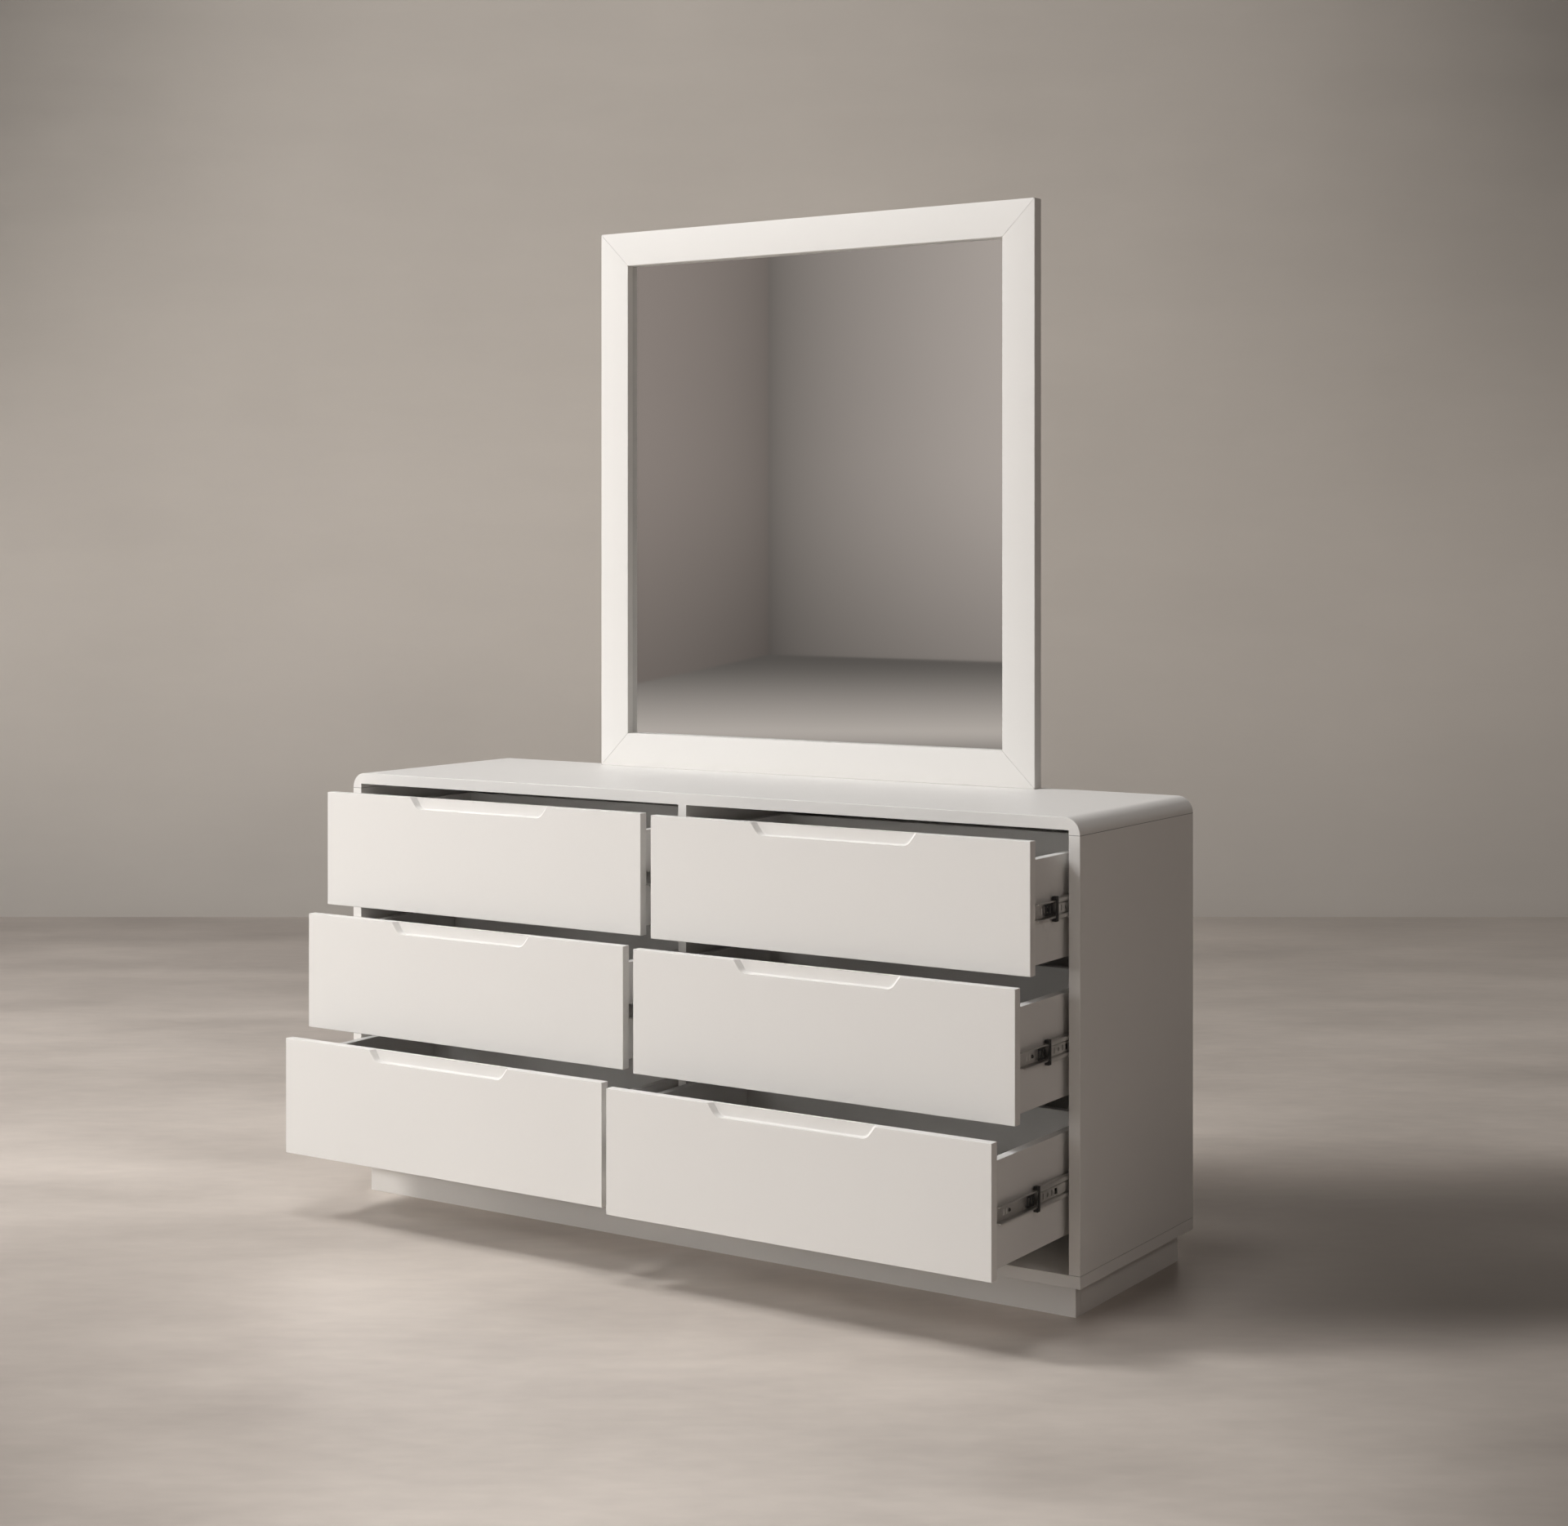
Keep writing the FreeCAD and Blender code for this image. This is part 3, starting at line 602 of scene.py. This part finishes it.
case_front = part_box("case_slides")[0].y
in_case, in_case_screws = [], []
for drawer in DRAWERS:
    body, runner = drawer + "_drawer", drawer + "_middle_slides"
    drawer_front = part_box(body + "_slides")[0].y
    runner_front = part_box(runner)[0].y
    in_case += both_sides(case_member, drawer, case_front)
    in_case_screws += both_sides(case_screws, drawer, case_front)
    pair = both_sides(drawer_member, drawer, drawer_front)
    pair = assembled(body + "_slide_members", body, pair)
    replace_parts(pair, body + "_slides")
    pair = both_sides(drawer_screws, drawer, drawer_front)
    assembled(body + "_slide_screws", body, pair)
    pair = both_sides(ball_cage, drawer, runner_front - CAGE_STANDS_OUT / 1000)
    assembled(drawer + "_ball_cage_ends", body, pair)
    pair = both_sides(middle_member, drawer, runner_front + STOP_LENGTH / 1000)
    pair = assembled(drawer + "_middle_slide_members", runner, pair)
    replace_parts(pair, runner)
    pair = both_sides(end_stop, drawer, runner_front)
    assembled(drawer + "_end_stops", runner, pair)
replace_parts(assembled("case_slide_members", "case", in_case), "case_slides")
assembled("case_slide_screws", "case", in_case_screws)


# ---------------------------------------------------------------- mirror
# Silvered glass in a mitred frame of lacquered board, with a thin backing board.
# Two lacquered posts screwed to the back of the case hold it up.

def silvered_glass():
    """Silver behind float glass: a clear reflection with the faintest haze."""
    material, start = new_finish("mirror_silver")
    place = on_the_piece(start)
    haze = noise(place, 3.0, 4.0, 0.6)
    wave = noise(place, 1.5, 1.0)
    colour = mixed(haze, (0.76, 0.765, 0.76), (0.80, 0.805, 0.80))
    surfaced(colour, 0.012 + haze * 0.012, wave, relief=0.00002, Metallic=1.0)
    return material


FACE_WIDTH, THICKNESS, EDGE_RADIUS = 68.0, 26.0, 1.6
REBATE_WIDTH, REBATE_DEPTH = 12.0, 9.5
MITRE_GAP, MITRE_EDGE = 0.35, 0.5


def mitred_member(length):
    """A frame member along X: outer edge at Z = 0, face at Y = 0, with its mitres eased."""
    lead = EDGE_RADIUS * 3
    square = [(lead, 0.0), (0.0, 0.0), (0.0, FACE_WIDTH), (lead, FACE_WIDTH)]
    back = [(THICKNESS - lead, 0.0), (THICKNESS, 0.0), (THICKNESS, lead)]
    step, lip = THICKNESS - REBATE_DEPTH, FACE_WIDTH - REBATE_WIDTH
    outline = rounded_line(square, EDGE_RADIUS)[1:-1]
    outline += [Vector(p) for p in ((step, FACE_WIDTH), (step, lip), (THICKNESS, lip))]
    outline += rounded_line(back, EDGE_RADIUS)[1:-1][::-1]
    shape = bmesh.new()
    ends = []
    for way in (-1, 1):
        reach = [way * (length / 2 - MITRE_GAP - p.y) / 1000 for p in outline]
        ends.append([shape.verts.new((x, p.x / 1000, p.y / 1000))
                     for x, p in zip(reach, outline)])
    for i in range(len(outline)):
        shape.faces.new([ends[0][i - 1], ends[0][i], ends[1][i], ends[1][i - 1]])
    caps = [shape.faces.new(end) for end in ends]
    bmesh.ops.bevel(shape, geom=[edge for cap in caps for edge in cap.edges],
                    offset=MITRE_EDGE / 1000, segments=2, affect="EDGES", clamp_overlap=True)
    made = closed_mesh("mitred_member", shape)
    made.materials.append(white_lacquer)
    return made


low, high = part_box("mirror_frame_bottom")[0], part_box("mirror_frame_top")[1]
across, upright = (high.x - low.x) * 1000, (high.z - low.z) * 1000
middle = (low.z + high.z) / 2
for side, length, turn, x, z in (
    ("bottom", across, 0, 0.0, low.z), ("top", across, 180, 0.0, high.z),
    ("left", upright, 90, low.x, middle), ("right", upright, -90, high.x, middle),
):
    where = Matrix.Translation((x, low.y, z)) @ Matrix.Rotation(math.radians(turn), 4, "Y")
    copies = [(mitred_member(length), where)]
    member = assembled("mirror_member_" + side, "case", copies)
    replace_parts(member, "mirror_frame_" + side)
dress(white_lacquer, "mirror_support_posts")
dress(back_board, "mirror_backboard")
dress(silvered_glass(), "mirror_glass")


def screw_zinc():
    """Dull zinc on a turned screw."""
    material, start = new_finish("screw_steel")
    bloom = noise(on_the_piece(start), 700.0, 4.0, 0.65)
    colour = mixed(bloom, (0.36, 0.36, 0.35), (0.58, 0.58, 0.57))
    surfaced(colour, 0.3 + bloom * 0.2, bloom, relief=0.00002, Metallic=1.0)
    return material


# The posts' screws in metres: how far to each side, and for the long ones in the case
# and the short ones in the frame, their heights and the length of their shanks.
POST_X = 0.455
POST_SCREWS = [((0.0665, 0.8195), 0.0456), ((0.900, 1.155, 1.410), 0.0356)]
countersunk = dict(Face=0.004, Seat=0.002, Head=0.0024, Shank=0.002, Seed=7,
                   Turn=(-math.pi / 2, 0.0, 0.0), Finish=screw_zinc())
post_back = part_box("mirror_support_posts")[1].y
screws = []
for heights, length in POST_SCREWS:
    places = points_mesh([(x, post_back, z) for x in (-POST_X, POST_X) for z in heights])
    made = made_by(drive_screws, places, Length=length, **countersunk)
    screws.append((made, Matrix.Identity(4)))
screws = assembled("mirror_post_screws", "case", screws)
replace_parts(screws, "mirror_support_screws")


# ---------------------------------------------------------------- room
# Not part of the object: a pale polished floor and a plain painted wall behind, both with
# painted shade, the far end of the room as glowing sheets that show only in the glass, soft
# lamps and the camera.

YAW = math.radians(33.14)
AHEAD = Vector((-math.sin(YAW), math.cos(YAW), 0.0))
ASIDE = Vector((math.cos(YAW), math.sin(YAW), 0.0))
EYE = Vector((2.6653, -3.9748, 1.2601))
BLACK = (0.0, 0.0, 0.0)


def seen(ahead, aside, z=0.0):
    """A point of the room by how far it lies ahead of the eye and to the right."""
    at = EYE + AHEAD * ahead + ASIDE * aside
    return (at.x, at.y, z)


def sheet(name, corners, material):
    """A flat four-cornered piece of the room, facing a point above its middle."""
    mesh = bpy.data.meshes.new(name)
    mesh.from_pydata(corners, [], [(0, 1, 2, 3)])
    if mesh.polygons[0].normal.dot(Vector((0.0, 0.0, 1.0)) - Vector(corners[0])) < 0:
        mesh.flip_normals()
    mesh.materials.append(material)
    made = bpy.data.objects.new(name, mesh)
    bpy.context.scene.collection.objects.link(made)
    made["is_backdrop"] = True
    return made


def in_the_round(start):
    """Places by how far they lie to the right of the middle of the room and how far in."""
    turned = {"Vector": on_the_piece(start), "Rotation": (0.0, 0.0, -YAW)}
    return start.node("ShaderNodeMapping", {}, turned)


def ramped(value, start, end):
    """0 up to the first value, 1 from the second on, with a soft rise between them."""
    sockets = {"Value": value, "From Min": start, "From Max": end}
    return value.node("ShaderNodeMapRange", {"interpolation_type": "SMOOTHSTEP"}, sockets)


def polished_concrete():
    """Power-floated concrete, sealed: cloudy, drawn out by the float, with a low shine."""
    material, start = new_finish("floor_concrete")
    turned = in_the_round(start)
    aside, ahead = coordinate(turned, "X"), coordinate(turned, "Y")
    drawn = scaled(turned, 0.42, 1.0, 1.0)
    cloud = noise(drawn, 1.2, 3.0)
    mottle = noise(drawn, 4.0, 4.0, 0.55)
    grit = noise(drawn, 34.0, 2.0)
    tone = (cloud * 0.5 + mottle * 0.5 - 0.5) * 0.75 + (grit - 0.5) * 0.1 + 0.57
    # Painted shade: the tone falls off towards the wall and into the near corners, with a
    # painted shadow beside the case.
    far = ramped(ahead, 0.6, 5.0)
    wide = aside * aside
    corner = ramped(ahead, -5.0, -2.0) * (1 - ramped(ahead, -1.9, 1.0)) * ramped(wide, 0.15, 1.5)
    corner = corner * (1 - ramped(wide, 3.0, 10.0))
    painted_case_shadow = ramped(aside, 0.35, 0.95) * (1 - ramped(aside, 1.6, 3.6))
    painted_case_shadow = painted_case_shadow * ramped(ahead, -0.85, -0.5) * (1 - ramped(ahead, 0.05, 0.6))
    painted_light = 1.12 - far * 0.38 - corner * 0.6 - painted_case_shadow * 0.62
    colour = mixed(tone * painted_light, (0.02, 0.012, 0.008), (0.93, 0.84, 0.76))
    surfaced(colour, 0.28 + mottle * 0.18, cloud, relief=0.0003)
    return material


def wall_paint():
    """Matt greige paint with faint roller clouds, and painted shade: darker higher up, most
    towards its far ends, and a little darker to the left.
    """
    material, start = new_finish("wall_paint")
    turned = in_the_round(start)
    aside, height = coordinate(turned, "X"), coordinate(turned, "Z")
    cloud = noise(turned, 0.9, 4.0)
    streak = noise(scaled(turned, 0.5, 1.0, 2.2), 2.4, 5.0, 0.6)
    rolled = (cloud - 0.5) * 0.1 + (streak - 0.5) * 0.05
    # Painted shade: darker higher up, most towards the far ends, and a little darker to the
    # left.
    painted_upper_shade = ramped(height, 0.6, 3.8) * (ramped(aside * aside, 0.5, 12.0) * 0.288 + 0.154)
    tone = 0.665 + rolled + ramped(aside, -4.0, 4.0) * 0.073 - painted_upper_shade
    surfaced(mixed(tone, BLACK, (1.03, 0.95, 0.86)), 0.75, streak, relief=0.001)
    return material


FLOOR_END, WALL_AHEAD = 8.842, 9.9
ROOM_REACH, WALL_FOOT, WALL_HEAD = 34, -2, 9
wall = [(-ROOM_REACH, WALL_FOOT), (ROOM_REACH, WALL_FOOT),
        (ROOM_REACH, WALL_HEAD), (-ROOM_REACH, WALL_HEAD)]
floor = [(-ROOM_REACH, -ROOM_REACH), (-ROOM_REACH, ROOM_REACH),
         (FLOOR_END, ROOM_REACH), (FLOOR_END, -ROOM_REACH)]
sheet("floor", [seen(ahead, aside) for ahead, aside in floor], polished_concrete())
sheet("wall", [seen(WALL_AHEAD, aside, z) for aside, z in wall], wall_paint())


# The far end of the room, as sheets that glow with painted light and show only in the glass: its
# corner, and the way and the length of its two walls.
FAR_CORNER = Vector((-15.10, -22.47, 0.0))
FAR_RIGHT = Vector((0.996, 0.091, 0.0))
FAR_LEFT = Vector((0.399, 0.917, 0.0))
FAR_HEIGHT = Vector((0.0, 0.0, 14.0))
FAR_RIGHT_LENGTH, FAR_LEFT_LENGTH = 40.0, 30.0


def painted_far_glow(name, colour, least, along, reach, power, end, foot=0.0):
    """A painted glow that stands in for a lit wall or floor: least in the far corner, as painted
    shade, and whole at its reach along the room.

    It fades past its end, and, as painted shade, towards the floor by the share that foot gives."""
    material, start = new_finish(name)
    moved = {0: on_the_piece(start), 1: FAR_CORNER}
    moved = start.node("ShaderNodeVectorMath", {"operation": "SUBTRACT"}, moved, "Vector")
    run = product(moved, along)
    near = start.math("POWER", start.math("DIVIDE", run, reach, True), power)
    up = ramped(coordinate(moved, "Z"), -1.2, 2.6)
    past = ramped(run, end, end + 3.5)
    tone = (least + near * (1 - least)) * (1 - foot + up * foot) * (1 - past * 0.75)
    glow = {"Color": mixed(tone, BLACK, colour), "Strength": 1.0}
    glow = start.node("ShaderNodeEmission", {}, glow)
    clear = start.node("ShaderNodeBsdfTransparent")
    behind = start.node("ShaderNodeNewGeometry", out="Backfacing")
    one_sided = start.node("ShaderNodeMixShader", {}, {0: behind, 1: glow, 2: clear})
    start.node("ShaderNodeOutputMaterial", {}, {"Surface": one_sided})
    return material


def only_reflected(made):
    """Keeps a sheet out of sight and off the light, except in the glass."""
    made.visible_camera = False
    made.visible_diffuse = False
    made.visible_shadow = False


right_glow = painted_far_glow("far_wall_right", (0.54, 0.48, 0.44), least=0.32, along=FAR_RIGHT,
                       reach=4.6, power=0.66, end=FAR_RIGHT_LENGTH, foot=0.5)
left_glow = painted_far_glow("far_wall_left", (0.31, 0.265, 0.24), least=0.62, along=FAR_LEFT,
                      reach=7.0, power=0.7, end=FAR_LEFT_LENGTH, foot=0.5)
for name, run, glow_finish in (
    ("far_wall_right", FAR_RIGHT * FAR_RIGHT_LENGTH, right_glow),
    ("far_wall_left", FAR_LEFT * FAR_LEFT_LENGTH, left_glow),
):
    end = FAR_CORNER + run
    corners = [FAR_CORNER, end, end + FAR_HEIGHT, FAR_CORNER + FAR_HEIGHT]
    only_reflected(sheet(name, [tuple(c) for c in corners], glow_finish))

# A patch of far floor that glows with painted light, in the glass only.
FAR_FLOOR_LIFT, FAR_FLOOR_REACH, FAR_FLOOR_DEPTH = 0.004, 30, 20.0
far_floor_glow = painted_far_glow("far_floor", (0.54, 0.49, 0.45), least=0.21,
                       along=Vector((0.547, 0.837, 0.0)), reach=14.0, power=2.0, end=13.9)
into_room = (FAR_RIGHT + FAR_LEFT).normalized()
across = Vector((-into_room.y, into_room.x, 0.0))
patch = [FAR_CORNER + across * reach for reach in (-FAR_FLOOR_REACH, FAR_FLOOR_REACH)]
patch += [corner + into_room * FAR_FLOOR_DEPTH for corner in patch[::-1]]
only_reflected(sheet("far_floor", [(c.x, c.y, FAR_FLOOR_LIFT) for c in patch], far_floor_glow))

LAMP_SIZE, LIT_MIDDLE = 1.4, Vector((0.0, 0.0, 0.5))


def lamp(name, turn, rise, away, watts, colour=(1.0, 1.0, 1.0)):
    """A soft square lamp, this many degrees round to the left of the front and up."""
    turn, rise = math.radians(turn), math.radians(rise)
    level = math.cos(rise)
    way = Vector((-math.sin(turn) * level, -math.cos(turn) * level, math.sin(rise)))
    data = bpy.data.lights.new(name, "AREA")
    data.size = LAMP_SIZE
    data.energy = watts
    data.color = colour
    made = bpy.data.objects.new(name, data)
    made.location = LIT_MIDDLE + way * away
    made.rotation_euler = way.to_track_quat("Z", "Y").to_euler()
    made.visible_camera = False
    made.visible_glossy = False
    bpy.context.scene.collection.objects.link(made)


lamp("key_lamp", turn=57, rise=50, away=8.0, watts=292)
lamp("top_lamp", turn=0, rise=80, away=8.0, watts=150)
lamp("front_lamp", turn=35, rise=28, away=5.2, watts=72)
lamp("low_left_lamp", turn=60, rise=8, away=5.2, watts=48, colour=(1.0, 0.97, 0.93))
lamp("low_front_lamp", turn=15, rise=8, away=5.2, watts=45, colour=(1.0, 0.97, 0.95))
lamp("right_lamp", turn=-70, rise=30, away=5.2, watts=18, colour=(1.0, 0.91, 0.84))

world = bpy.data.worlds.new("studio")
world.use_nodes = True
ambient = world.node_tree.nodes["Background"].inputs
ambient["Color"].default_value = (1.0, 0.84, 0.76, 1)
ambient["Strength"].default_value = 0.052
bpy.context.scene.world = world

lens = bpy.data.cameras.new("camera")
lens.sensor_width = 36.0
lens.lens = 58.21
lens.shift_y = -0.1322
camera = bpy.data.objects.new("camera", lens)
camera.location = EYE
camera.rotation_euler = (math.pi / 2, 0.0, YAW)
bpy.context.scene.collection.objects.link(camera)
bpy.context.scene.camera = camera
bpy.context.scene.view_settings.view_transform = "Standard"

low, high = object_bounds()
